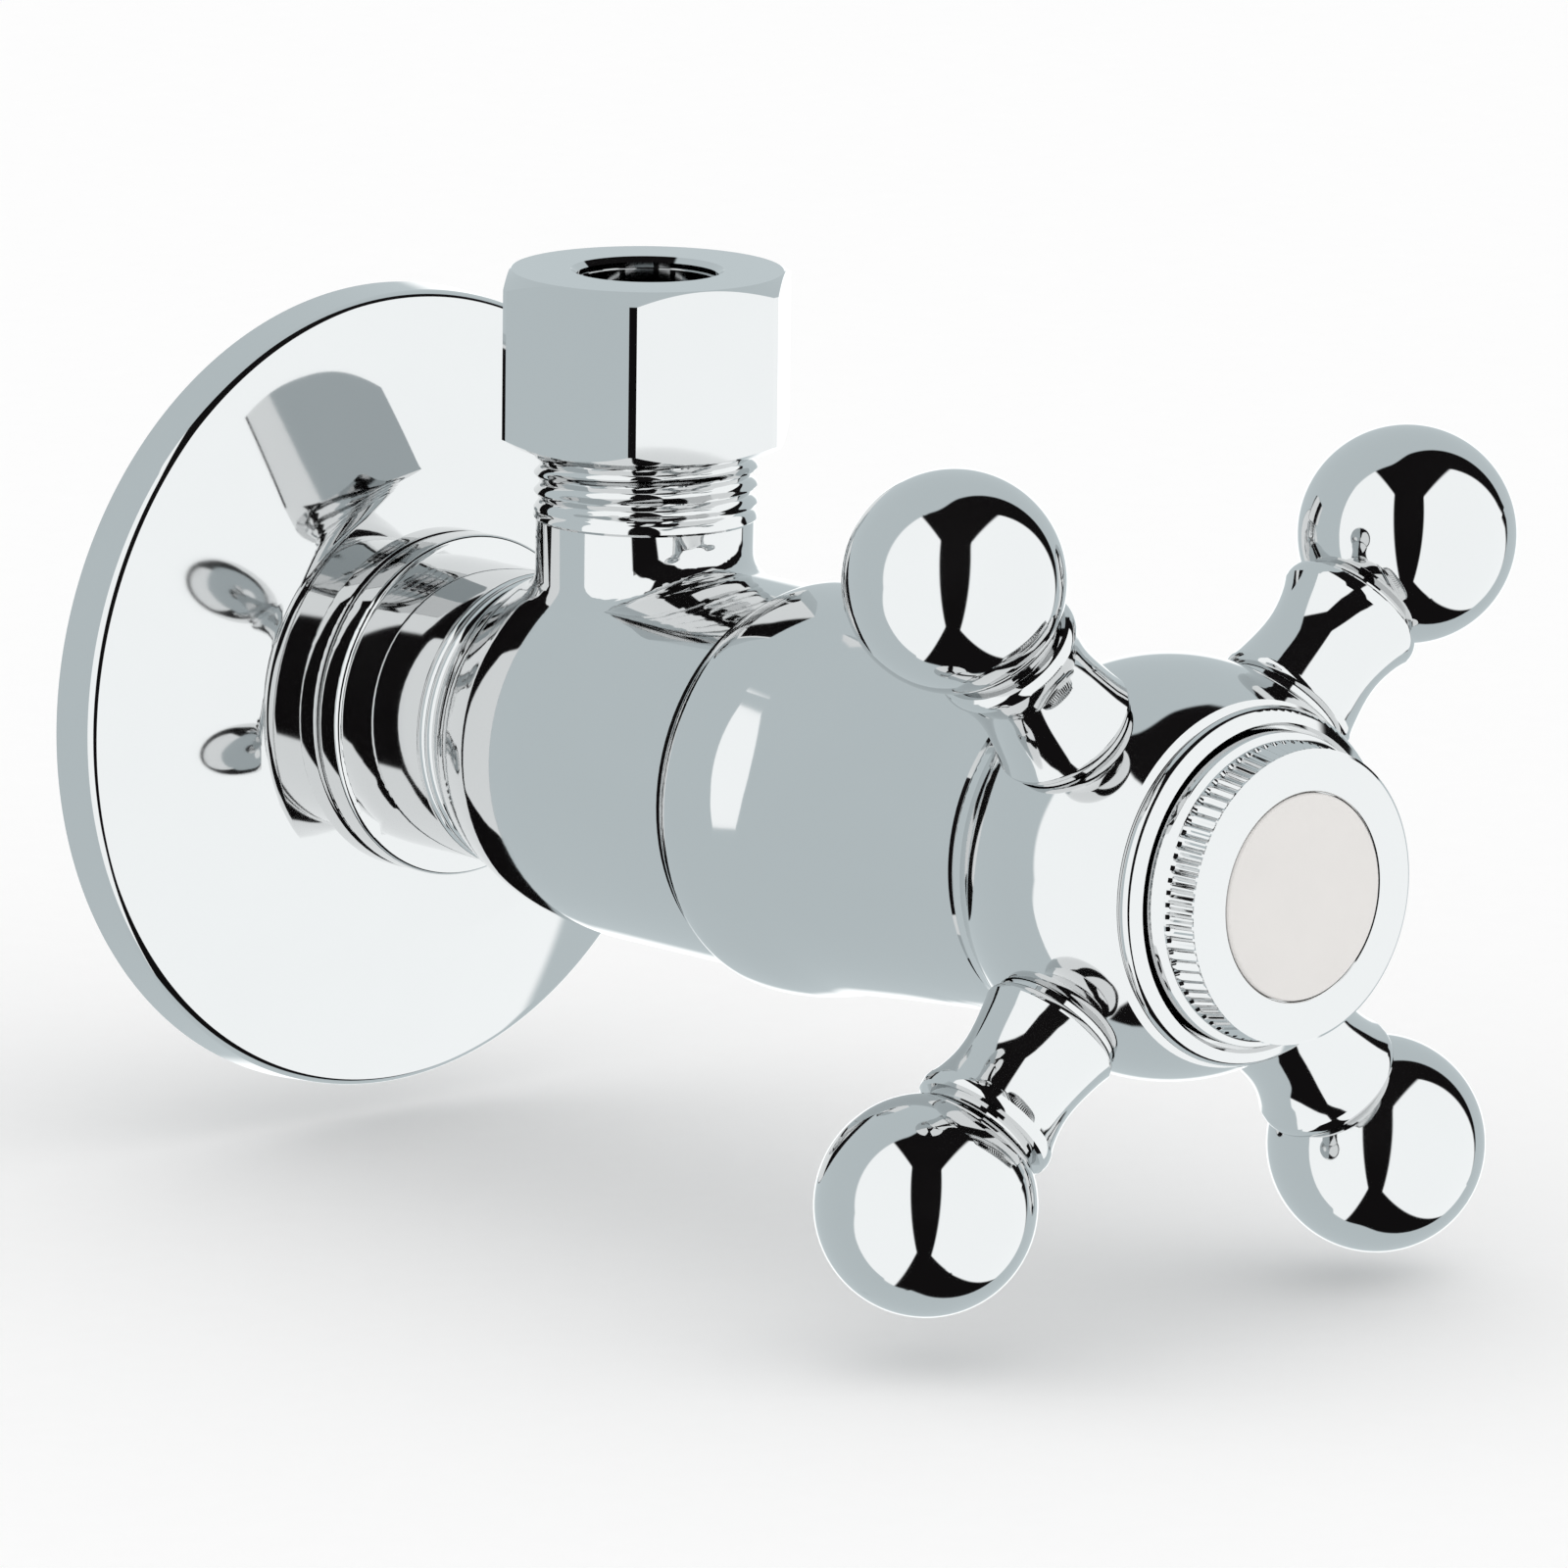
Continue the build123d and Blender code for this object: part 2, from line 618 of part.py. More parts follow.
def hub_sphere(depth):
    """Radius of the hub's spherical face at a depth."""
    return math.sqrt(HUB_R ** 2 - (depth - HANDLE_DEPTH) ** 2)


def handle_hub(arm_angles):
    """Ball-shaped hub with a rounded rear rim, a bezel in front and four arm seats."""
    sphere_start = HANDLE_DEPTH - 7.57
    sphere_end = HANDLE_DEPTH + 7.83
    bezel_round = 0.62
    rim_round = 0.55
    with BuildPart() as hub:
        with BuildSketch(SECTION):
            with BuildLine():
                rear = Line((INSERT_R, HUB_REAR), (HUB_RIM_R - rim_round, HUB_REAR))
                rim = JernArc(rear @ 1, (1, 0), rim_round, 90)
                crease = Line(rim @ 1, (hub_sphere(sphere_start), sphere_start))
                ball = ThreePointArc(
                    crease @ 1, (HUB_R, HANDLE_DEPTH), (hub_sphere(sphere_end), sphere_end)
                )
                valley = Line(ball @ 1, (HUB_BEZEL_R - 0.35, HUB_BEZEL_DEPTH - bezel_round))
                bezel = ThreePointArc(
                    valley @ 1, (HUB_BEZEL_R, HUB_BEZEL_DEPTH), (HUB_BEZEL_R - 0.4, HUB_BEZEL_DEPTH + 0.6)
                )
                Polyline(
                    bezel @ 1,
                    (HUB_MOUTH_R + 0.25, HUB_MOUTH_DEPTH + 0.1),
                    (HUB_MOUTH_R, HUB_MOUTH_DEPTH - 0.15),
                    (HUB_MOUTH_R, HUB_MOUTH_FLOOR),
                    (CAP_THREAD_R, HUB_MOUTH_FLOOR),
                    (CAP_THREAD_R, HUB_WEB_END),
                    (SCREW_THREAD_R + 0.1, HUB_WEB_END),
                    (SCREW_THREAD_R + 0.1, HUB_WEB_START),
                    (INSERT_R, HUB_WEB_START),
                    rear @ 0,
                )
            make_face()
        revolve(axis=Axis.Y)
        for angle in arm_angles:
            with BuildSketch(arm_plane(angle)):
                with BuildLine():
                    Polyline(
                        (0, ARM_START - 4.0),
                        (ARM_THREAD_R, ARM_START - 4.0),
                        (ARM_THREAD_R, ARM_START),
                        (ARM_SEAT_R, ARM_START),
                        (ARM_SEAT_R, HUB_R + 1.0),
                        (0, HUB_R + 1.0),
                        close=True,
                    )
                make_face()
            revolve(axis=arm_axis(angle), mode=Mode.SUBTRACT)
    return hub


def handle_arm(angle):
    """Trumpet-shaped arm: ring at the hub, slim waist, flared and rounded lip at the ball."""
    ring_r = ARM_SEAT_R - 0.1
    lip_start = ARM_END - 1.6
    lip_end = ARM_END - 0.7
    base_swell = ARM_BASE_R - ARM_WAIST_R
    lip_swell = ARM_LIP_R - ARM_WAIST_R
    flare = lip_start - ARM_WAIST
    taper = ARM_WAIST - ARM_BASE
    with BuildPart() as arm:
        with BuildSketch(arm_plane(angle)):
            with BuildLine():
                stud = Polyline(
                    (0, ARM_START - 4.0),
                    (ARM_THREAD_R, ARM_START - 4.0),
                    (ARM_THREAD_R, ARM_START),
                    (ring_r - 0.2, ARM_START),
                    (ring_r, ARM_START + 0.2),
                    (ring_r, ARM_BASE - 0.75),
                )
                base = ThreePointArc(
                    stud @ 1, (ARM_BASE_R - 0.12, ARM_BASE - 0.45), (ARM_BASE_R, ARM_BASE)
                )
                waist = Spline(
                    base @ 1,
                    (ARM_WAIST_R + base_swell * 0.45, ARM_BASE + taper * 0.35),
                    (ARM_WAIST_R, ARM_WAIST),
                    (ARM_WAIST_R + lip_swell * 0.35, ARM_WAIST + flare * 0.6),
                    (ARM_LIP_R - 0.06, lip_start),
                    tangents=[(-0.32, 1), (0.5, 1)],
                )
                lip = ThreePointArc(
                    waist @ 1, (ARM_LIP_R, (lip_start + lip_end) / 2), (ARM_LIP_R - 0.1, lip_end)
                )
                Polyline(
                    lip @ 1,
                    (ARM_LIP_R - 0.35, lip_end + 0.2),
                    (ARM_NECK_R, lip_end + 0.25),
                    (ARM_NECK_R, ARM_END),
                    (BALL_THREAD_R, ARM_END),
                    (BALL_THREAD_R, ARM_END + 3.0),
                    (0, ARM_END + 3.0),
                    (0, ARM_START - 4.0),
                )
            make_face()
        revolve(axis=arm_axis(angle))
    return arm


def handle_ball(angle):
    """Ball knob with a flat seat and a hole for the arm's stud."""
    seat_r = math.sqrt(BALL_R ** 2 - (BALL_CENTRE - ARM_END) ** 2)
    with BuildPart() as ball:
        with BuildSketch(arm_plane(angle)):
            with BuildLine():
                outside = ThreePointArc(
                    (seat_r, ARM_END), (BALL_R, BALL_CENTRE), (0, BALL_CENTRE + BALL_R)
                )
                Polyline(
                    outside @ 1,
                    (0, ARM_END + 3.0),
                    (BALL_THREAD_R, ARM_END + 3.0),
                    (BALL_THREAD_R, ARM_END),
                    outside @ 0,
                )
            make_face()
        revolve(axis=arm_axis(angle))
    return ball


def handle_screw():
    """Screw that ties the hub to the spindle."""
    with BuildPart() as screw:
        with BuildSketch(depth_plane(HUB_WEB_END)):
            Circle(HANDLE_SCREW_HEAD_R)
        extrude(amount=HANDLE_SCREW_HEAD)
        fillet(screw.edges().sort_by(Axis.Y)[0], 1.0)
        with BuildSketch(depth_plane(HUB_WEB_END + HANDLE_SCREW_HEAD)):
            RegularPolygon(2.0, 6, major_radius=False)
        extrude(amount=-1.6, mode=Mode.SUBTRACT)
        with BuildSketch(depth_plane(SPINDLE_END - 10)):
            Circle(SCREW_THREAD_R)
        extrude(amount=HUB_WEB_END - SPINDLE_END + 10)
    return screw


def index_cap():
    """Cap screwed into the hub: hollow skirt, thin flange, grip band and disc recess."""
    with BuildPart() as cap:
        with BuildSketch(SECTION):
            with BuildLine():
                Polyline(
                    (CAP_HOLLOW_R, CAP_START),
                    (CAP_THREAD_R, CAP_START),
                    (CAP_THREAD_R, HUB_MOUTH_FLOOR),
                    (CAP_FLANGE_R, HUB_MOUTH_FLOOR),
                    (CAP_FLANGE_R, CAP_FLANGE_END - 0.2),
                    (CAP_FLANGE_R - 0.2, CAP_FLANGE_END),
                    (CAP_R, CAP_FLANGE_END + 0.25),
                    (CAP_R - 0.1, CAP_FACE - 0.3),
                    (CAP_R - 0.35, CAP_FACE),
                    (DISC_R + DISC_GAP, CAP_FACE),
                    (DISC_R + DISC_GAP, DISC_FLOOR),
                    (0, DISC_FLOOR),
                    (0, CAP_HOLLOW_END),
                    (CAP_HOLLOW_R, CAP_HOLLOW_END),
                    close=True,
                )
            make_face()
        revolve(axis=Axis.Y)
    return cap


def index_disc():
    """Plain cream disc set in the cap."""
    with BuildPart() as disc:
        with BuildSketch(depth_plane(DISC_FLOOR)):
            Circle(DISC_R)
        extrude(amount=DISC_FACE - DISC_FLOOR)
        fillet(disc.edges().sort_by(Axis.Y)[0], 0.25)
    return disc


arm_angles = {
    "upper_right": HANDLE_TURN,
    "upper_left": HANDLE_TURN + 90,
    "lower_left": HANDLE_TURN + 180,
    "lower_right": HANDLE_TURN + 270,
}

keep(wall_rosette(), "wall_rosette")
keep(valve_body(), "valve_body")
keep(compression_nut(), "compression_nut")
keep(compression_ring(), "compression_ring")
keep(headwork_shell(), "headwork_shell")
keep(tube(INLET_THREAD_R, GASKET_R, BARREL_END, GASKET_FACE), "headwork_gasket")
keep(spindle(), "spindle")
keep(seal_ring(SEAL_DEPTHS[0]), "spindle_seal_inner")
keep(seal_ring(SEAL_DEPTHS[1]), "spindle_seal_outer")
keep(tube(JOURNAL_BORE_R, COLLAR_R, COLLAR_END, GUIDE_END - END_PLAY), "thrust_washer")
keep(retaining_clip(), "retaining_clip")
keep(piston(), "piston")
keep(tube(WASHER_SCREW_R, SEAT_WASHER_R, WASHER_FACE, PISTON_CUP_FLOOR, 0.3), "seat_washer")
keep(washer_screw(), "washer_screw")
keep(bonnet(), "bonnet")
keep(handle_hub(arm_angles.values()), "handle_hub")
for place, angle in arm_angles.items():
    keep(handle_arm(angle), f"handle_arm_{place}")
    keep(handle_ball(angle), f"handle_ball_{place}")
keep(tube(SPLINE_R, INSERT_R, INSERT_START, HUB_WEB_START), "handle_insert")
keep(handle_screw(), "handle_screw")
keep(index_cap(), "index_cap")
keep(index_disc(), "index_disc")
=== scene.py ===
"""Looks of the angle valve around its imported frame. Lengths are in metres.

The valve axis is Y, the wall is the plane y = 0, the outlet points up along Z. The studio round
the valve is the one that the photograph's chrome balls mirror: a pale grey surround, two white
panels left and right of the camera, and dark above, below and between them.
"""

import json
import math

import bmesh
import bpy
from mathutils import Matrix, Vector


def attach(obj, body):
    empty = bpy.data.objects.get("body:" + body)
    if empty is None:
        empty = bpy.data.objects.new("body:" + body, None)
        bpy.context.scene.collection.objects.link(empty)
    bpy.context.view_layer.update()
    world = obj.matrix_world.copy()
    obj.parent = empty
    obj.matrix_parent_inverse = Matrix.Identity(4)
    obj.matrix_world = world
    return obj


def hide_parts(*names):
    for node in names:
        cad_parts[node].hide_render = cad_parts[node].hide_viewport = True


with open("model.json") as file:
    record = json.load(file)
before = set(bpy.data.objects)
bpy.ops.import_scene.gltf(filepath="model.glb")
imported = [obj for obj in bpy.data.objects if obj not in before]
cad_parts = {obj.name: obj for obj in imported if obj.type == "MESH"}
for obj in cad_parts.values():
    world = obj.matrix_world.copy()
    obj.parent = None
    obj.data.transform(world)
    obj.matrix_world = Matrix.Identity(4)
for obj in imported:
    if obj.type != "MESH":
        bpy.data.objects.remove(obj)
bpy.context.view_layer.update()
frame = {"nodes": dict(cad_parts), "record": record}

MM = 0.001
scene = bpy.context.scene
nodes = frame["nodes"]

# Camera, fitted to the outlines in the photograph
CAMERA_PLACE = Vector((-0.802909, -0.918084, 0.242066))
CAMERA_FORWARD = Vector((0.663945, 0.720389, -0.200541))
CAMERA_UP = Vector((0.127185, 0.155485, 0.979616))
CAMERA_LENS = 376.194


def make_camera():
    back = -CAMERA_FORWARD.normalized()
    right = CAMERA_UP.cross(back).normalized()
    up = back.cross(right)
    data = bpy.data.cameras.new("camera")
    data.lens = CAMERA_LENS
    data.sensor_width = 36.0
    data.clip_start = 0.05
    data.clip_end = 50.0
    camera = bpy.data.objects.new("camera", data)
    turn = Matrix((right, up, back)).transposed().to_4x4()
    camera.matrix_world = Matrix.Translation(CAMERA_PLACE) @ turn
    scene.collection.objects.link(camera)
    scene.camera = camera


class Tree:
    """Short names for building a node tree."""

    def __init__(self, owner):
        owner.use_nodes = True
        self.nodes = owner.node_tree.nodes
        self.links = owner.node_tree.links
        self.nodes.clear()

    def add(self, kind, inputs=None, **settings):
        node = self.nodes.new("ShaderNode" + kind)
        for name, value in settings.items():
            setattr(node, name, value)
        for name, value in (inputs or {}).items():
            self.put(value, node.inputs[name])
        return node

    def put(self, value, socket):
        if isinstance(value, bpy.types.NodeSocket):
            self.links.new(value, socket)
        else:
            socket.default_value = value

    def math(self, operation, *values):
        node = self.add("Math", operation=operation)
        for socket, value in zip(node.inputs, values):
            self.put(value, socket)
        return node.outputs[0]

    def step(self, value, low, high):
        """0 below low, 1 above high, smooth between."""
        node = self.add("MapRange", interpolation_type="SMOOTHSTEP")
        self.put(value, node.inputs["Value"])
        self.put(low, node.inputs["From Min"])
        self.put(high, node.inputs["From Max"])
        return node.outputs["Result"]

    def mix(self, factor, a, b):
        node = self.add("Mix", data_type="RGBA")
        self.put(factor, node.inputs[0])
        self.put(a, node.inputs[6])
        self.put(b, node.inputs[7])
        return node.outputs[2]

    def dot(self, vector, direction):
        node = self.add("VectorMath", operation="DOT_PRODUCT")
        self.put(vector, node.inputs[0])
        node.inputs[1].default_value = direction
        return node.outputs["Value"]


def grey(value, tint=(1.0, 1.0, 1.0)):
    return (value * tint[0], value * tint[1], value * tint[2], 1.0)


# Studio, in directions: side is to the camera's right, up its up, near towards it
STUDIO_NEAR = -CAMERA_FORWARD.normalized()
STUDIO_SIDE = CAMERA_UP.cross(STUDIO_NEAR).normalized()
STUDIO_UP = STUDIO_NEAR.cross(STUDIO_SIDE)
PANEL_LIGHT = grey(1.265, (0.97, 0.995, 1.0))
SURROUND = grey(0.69, (0.88, 0.985, 1.02))
DARK = grey(0.0075, (1.0, 0.9, 0.95))
EDGE = 0.03

# White panels left and right of the camera: azimuth, then the edges left, right, bottom and top
PANELS = (
    (-80, (-6.0, 0.0), (2.09, -0.102), (-2.85, 0.0), (1.84, 0.0)),
    (78, (-1.99, 0.21), (1.035, -0.6), (-2.27, 0.52), (1.5, 0.0)),
)


def panel(t, side, up, near, azimuth, left, right, bottom, top):
    """1 inside a flat panel that faces the valve from an azimuth.

    Each edge is (place, slope) in the panel's own plane, one unit from the valve.
    """
    a = math.radians(azimuth)
    sin, cos = math.sin(a), math.cos(a)
    ahead = t.math("ADD", t.math("MULTIPLY", side, sin), t.math("MULTIPLY", near, cos))
    across = t.math("SUBTRACT", t.math("MULTIPLY", side, cos), t.math("MULTIPLY", near, sin))
    safe = t.math("MAXIMUM", ahead, 0.001)
    u = t.math("DIVIDE", across, safe)
    v = t.math("DIVIDE", up, safe)

    def beyond(value, other, edge, sign):
        line = t.math("MULTIPLY_ADD", other, edge[1], edge[0])
        gap = t.math("MULTIPLY", t.math("SUBTRACT", value, line), sign)
        width = t.math("MULTIPLY_ADD", t.math("ABSOLUTE", value), EDGE, EDGE)
        return t.step(t.math("DIVIDE", gap, width), -1.0, 1.0)

    inside = t.step(ahead, 0.0, 0.02)
    for part in (beyond(u, v, left, 1.0), beyond(u, v, right, -1.0),
                 beyond(v, u, bottom, 1.0), beyond(v, u, top, -1.0)):
        inside = t.math("MULTIPLY", inside, part)
    return inside


def make_world():
    world = bpy.data.worlds.new("studio")
    scene.world = world
    t = Tree(world)
    direction = t.add("TexCoord").outputs["Generated"]
    side, up, near = (t.dot(direction, v) for v in (STUDIO_SIDE, STUDIO_UP, STUDIO_NEAR))

    left_panel, right_panel = (panel(t, side, up, near, *place) for place in PANELS)
    panels = t.math("MAXIMUM", left_panel, right_panel)
    lit = t.mix(panels, DARK, PANEL_LIGHT)

    # The surround begins where "near" falls below a limit, one for the left and one for the right
    low = t.math("MINIMUM", t.math("ADD", up, 0.1), 0.0)
    left_limit = t.math("MULTIPLY_ADD", low, 0.43, 0.2)
    right_limit = t.math("MULTIPLY_ADD", low, 0.3, t.math("MULTIPLY", side, -0.78))
    which = t.step(side, -0.35, 0.05)
    limit = t.math("ADD", t.math("MULTIPLY", left_limit, t.math("SUBTRACT", 1.0, which)),
                   t.math("MULTIPLY", right_limit, which))
    behind = t.step(t.math("SUBTRACT", limit, near), -0.02, 0.02)
    studio = t.mix(behind, lit, SURROUND)
    # The white backdrop straight behind the valve
    backdrop = t.step(near, -0.93, -0.97)
    studio = t.mix(backdrop, studio, PANEL_LIGHT)

    path = t.add("LightPath").outputs
    white = grey(1.0)
    seen = t.mix(path["Is Glossy Ray"], white, studio)
    plain = t.math("MAXIMUM", path["Is Camera Ray"], path["Is Transmission Ray"])
    seen = t.mix(plain, seen, white)
    out = t.add("Background", {"Color": seen, "Strength": 1.0})
    t.links.new(out.outputs[0], t.add("OutputWorld").inputs["Surface"])


def surface(name, colour, metallic, roughness):
    """A material with a Principled shader, its tree and its shader node."""
    material = bpy.data.materials.new(name)
    t = Tree(material)
    shader = t.add("BsdfPrincipled", {"Base Color": colour, "Metallic": metallic,
                                      "Roughness": roughness})
    t.links.new(shader.outputs[0], t.add("OutputMaterial").inputs["Surface"])
    return material, t, shader


def object_point(t):
    return t.add("TexCoord").outputs["Object"]


def noise(t, point, scale, detail=2.0, rough=0.5, stretch=None):
    if stretch:
        point = t.add("Mapping", {"Vector": point, "Scale": stretch}).outputs[0]
    settings = {"Vector": point, "Scale": scale, "Detail": detail, "Roughness": rough}
    return t.add("TexNoise", settings).outputs["Fac"]


def chrome():
    """Polished chrome plate: faint smears, hairline polishing marks and a very slight ripple."""
    material, t, shader = surface("chrome_plate", grey(0.7), 1.0, 0.05)
    point = object_point(t)
    smears = noise(t, point, 70.0, 4.0, 0.6)
    hairlines = noise(t, point, 900.0, 2.0, 0.6, (1.0, 0.12, 1.0))
    rough = t.add("MapRange", {"Value": smears, "From Min": 0.35, "From Max": 0.75,
                               "To Min": 0.03, "To Max": 0.065}).outputs[0]
    rough = t.math("MULTIPLY_ADD", t.math("SUBTRACT", hairlines, 0.5), 0.02, rough)
    t.put(rough, shader.inputs["Roughness"])
    tone = t.mix(smears, grey(0.69, (0.995, 1.0, 1.003)), grey(0.715, (0.995, 1.0, 1.002)))
    t.put(tone, shader.inputs["Base Color"])
    ripple = noise(t, point, 220.0, 2.0, 0.5)
    bump = t.add("Bump", {"Height": ripple, "Strength": 0.02, "Distance": 0.00005})
    t.put(bump.outputs[0], shader.inputs["Normal"])
    return material


def turned_metal(name, colour, roughness):
    """Bare metal with the fine rings that a lathe leaves and a little tarnish."""
    material, t, shader = surface(name, colour, 1.0, roughness)
    point = object_point(t)
    rings = t.add("TexWave", {"Vector": point, "Scale": 2600.0, "Distortion": 0.6, "Detail": 1.0},
                  wave_type="BANDS", bands_direction="Y").outputs["Fac"]
    tarnish = noise(t, point, 160.0, 4.0, 0.6)
    darker = tuple(c * 0.72 for c in colour[:3]) + (1.0,)
    t.put(t.mix(tarnish, colour, darker), shader.inputs["Base Color"])
    rough = t.math("MULTIPLY_ADD", tarnish, 0.22, roughness - 0.08)
    t.put(rough, shader.inputs["Roughness"])
    bump = t.add("Bump", {"Height": rings, "Strength": 0.12, "Distance": 0.00003})
    t.put(bump.outputs[0], shader.inputs["Normal"])
    return material


def moulded(name, colour, roughness, grain, coat=0.0):
    """Rubber, fibre or plastic: slight mottling and a fine moulded grain."""
    material, t, shader = surface(name, colour, 0.0, roughness)
    if coat:
        shader.inputs["Coat Weight"].default_value = coat
        shader.inputs["Coat Roughness"].default_value = 0.12
    point = object_point(t)
    mottle = noise(t, point, 130.0, 3.0, 0.55)
    paler = tuple(min(1.0, c * 1.05) for c in colour[:3]) + (1.0,)
    darker = tuple(c * 0.96 for c in colour[:3]) + (1.0,)
    t.put(t.mix(mottle, darker, paler), shader.inputs["Base Color"])
    fine = noise(t, point, 2400.0, 2.0, 0.5)
    t.put(t.math("MULTIPLY_ADD", fine, 0.1, roughness - 0.05), shader.inputs["Roughness"])
    bump = t.add("Bump", {"Height": fine, "Strength": grain, "Distance": 0.00003})
    t.put(bump.outputs[0], shader.inputs["Normal"])
    return material


def finish_materials():
    finishes = {
        "chrome": chrome(),
        "brass": turned_metal("turned_brass", (0.78, 0.60, 0.30, 1.0), 0.3),
        "spring_steel": turned_metal("plain_steel", (0.60, 0.61, 0.63, 1.0), 0.28),
        "gasket": moulded("pressed_fibre", (0.42, 0.12, 0.09, 1.0), 0.8, 0.5),
        "seal": moulded("black_rubber", (0.03, 0.03, 0.032, 1.0), 0.55, 0.25),
        "slide_ring": moulded("slide_plastic", (0.82, 0.82, 0.79, 1.0), 0.4, 0.15),
        "disc": moulded("cream_plastic", (0.775, 0.752, 0.730, 1.0), 0.35, 0.08, 0.3),
    }
    for part in frame["record"]["subparts"]:
        node = nodes[part["node"]]
        node.data.materials.clear()
        node.data.materials.append(finishes[part["material_slot"]])
    return finishes


FLOOR_HEIGHT = -0.0335
FLOOR_REACH = 6.0


def make_floor():
    """Plain white floor. Metal mirrors the studio instead of it, as in the photograph."""
    mesh = bpy.data.meshes.new("floor")
    corners = ((-1, -1), (1, -1), (1, 1), (-1, 1))
    points = [(x * FLOOR_REACH, y * FLOOR_REACH, FLOOR_HEIGHT) for x, y in corners]
    mesh.from_pydata(points, [], [(0, 1, 2, 3)])
    floor = bpy.data.objects.new("floor", mesh)
    scene.collection.objects.link(floor)
    material, t, shader = surface("floor_white", grey(0.98), 0.0, 0.9)
    shader.inputs["Specular IOR Level"].default_value = 0.0
    speckle = noise(t, object_point(t), 400.0, 3.0, 0.5)
    t.put(t.mix(speckle, grey(0.975), grey(0.99)), shader.inputs["Base Color"])
    mesh.materials.append(material)
    floor.visible_glossy = False


# Edge of the grey surround on the left: (azimuth, elevation) in degrees, seen from the handle
SURROUND_EDGE = ((-75, 45), (-77, 15), (-78, 0), (-80, -15), (-83, -30), (-88, -45), (-96, -60))
SURROUND_REACH = 0.24
SURROUND_FAR_EDGE = (-24, 2.2)      # turn in degrees and times the reach, from the near edge
HANDLE_CENTRE = Vector((0.0, -0.08787, 0.0))


def make_surround_card():
    """The near edge of the surround: nut and body mirror more of it than the handle does."""
    points = []
    for azimuth, elevation in SURROUND_EDGE:
        rise = math.tan(math.radians(elevation))
        for turn, times in ((0, 1.0), SURROUND_FAR_EDGE):
            reach = SURROUND_REACH * times
            a = math.radians(azimuth + turn)
            flat = STUDIO_SIDE * math.sin(a) + STUDIO_NEAR * math.cos(a)
            points.append(HANDLE_CENTRE + flat * reach + STUDIO_UP * reach * rise)
    faces = [(i, i + 1, i + 3, i + 2) for i in range(0, len(points) - 2, 2)]
    mesh = bpy.data.meshes.new("surround_card")
    mesh.from_pydata(points, [], faces)
    card = bpy.data.objects.new("surround_card", mesh)
    scene.collection.objects.link(card)
    material = bpy.data.materials.new("surround_grey")
    t = Tree(material)
    glow = t.add("Emission", {"Color": SURROUND, "Strength": 1.0})
    t.links.new(glow.outputs[0], t.add("OutputMaterial").inputs["Surface"])
    mesh.materials.append(material)
    card.visible_camera = False
    card.visible_diffuse = False
    card.visible_shadow = False
    card.visible_transmission = False


CREASE = math.radians(24)


def finish_piece(mesh, name, body, node, slot):
    """Turns a bmesh into a piece that stands for a node, with its sharp edges marked."""
    bmesh.ops.recalc_face_normals(mesh, faces=mesh.faces)
    for edge in mesh.edges:
        if len(edge.link_faces) == 2:
            edge.smooth = edge.calc_face_angle(0.0) < CREASE
    for face in mesh.faces:
        face.smooth = True
    data = bpy.data.meshes.new(name)
    mesh.to_mesh(data)
    mesh.free()
    piece = bpy.data.objects.new(name, data)
    scene.collection.objects.link(piece)
    data.materials.append(finishes[slot])
    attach(piece, body)
    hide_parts(node)
    return piece


def skin(mesh, rows, closed=False):
    """Faces between rows of points, each row a closed ring."""
    made = [[mesh.verts.new(point) for point in row] for row in rows]
    pairs = list(zip(made, made[1:]))
    if closed:
        pairs.append((made[-1], made[0]))
    for low, high in pairs:
        for i in range(len(low)):
            j = (i + 1) % len(low)
            mesh.faces.new((low[i], low[j], high[j], high[i]))


def node_mesh(node):
    """A bmesh of a node's own mesh, with its faces joined."""
    mesh = bmesh.new()
    mesh.from_mesh(nodes[node].data)
    bmesh.ops.remove_doubles(mesh, verts=mesh.verts, dist=1e-6)
    return mesh


THREAD_STEPS = 120
ROWS_PER_PITCH = 14
ROOT_SHAPE = 0.6        # below 1 the roots are wider than the crests


def thread_rows(place, start, length, crest, depth, pitch):
    """Rows of a helical thread that fades into the plain cylinder at both ends."""
    rows = []
    steps = THREAD_STEPS
    count = round(length / pitch * ROWS_PER_PITCH)
    for k in range(count + 1):
        along = length * k / count
        fade = min(1.0, along / pitch, (length - along) / pitch)
        row = []
        for i in range(steps):
            angle = 2 * math.pi * i / steps
            wave = 0.5 - 0.5 * math.cos(2 * math.pi * (along / pitch - i / steps))
            radius = crest - depth * fade * wave ** ROOT_SHAPE
            row.append(place(radius, angle, start + along))
        rows.append(row)
    return rows


def on_valve_axis(radius, angle, depth):
    return Vector((radius * math.cos(angle), -depth, radius * math.sin(angle))) * MM


OUTLET_DEPTH = 31.35


def on_outlet_axis(radius, angle, height):
    return Vector((radius * math.cos(angle), radius * math.sin(angle) - OUTLET_DEPTH, height)) * MM


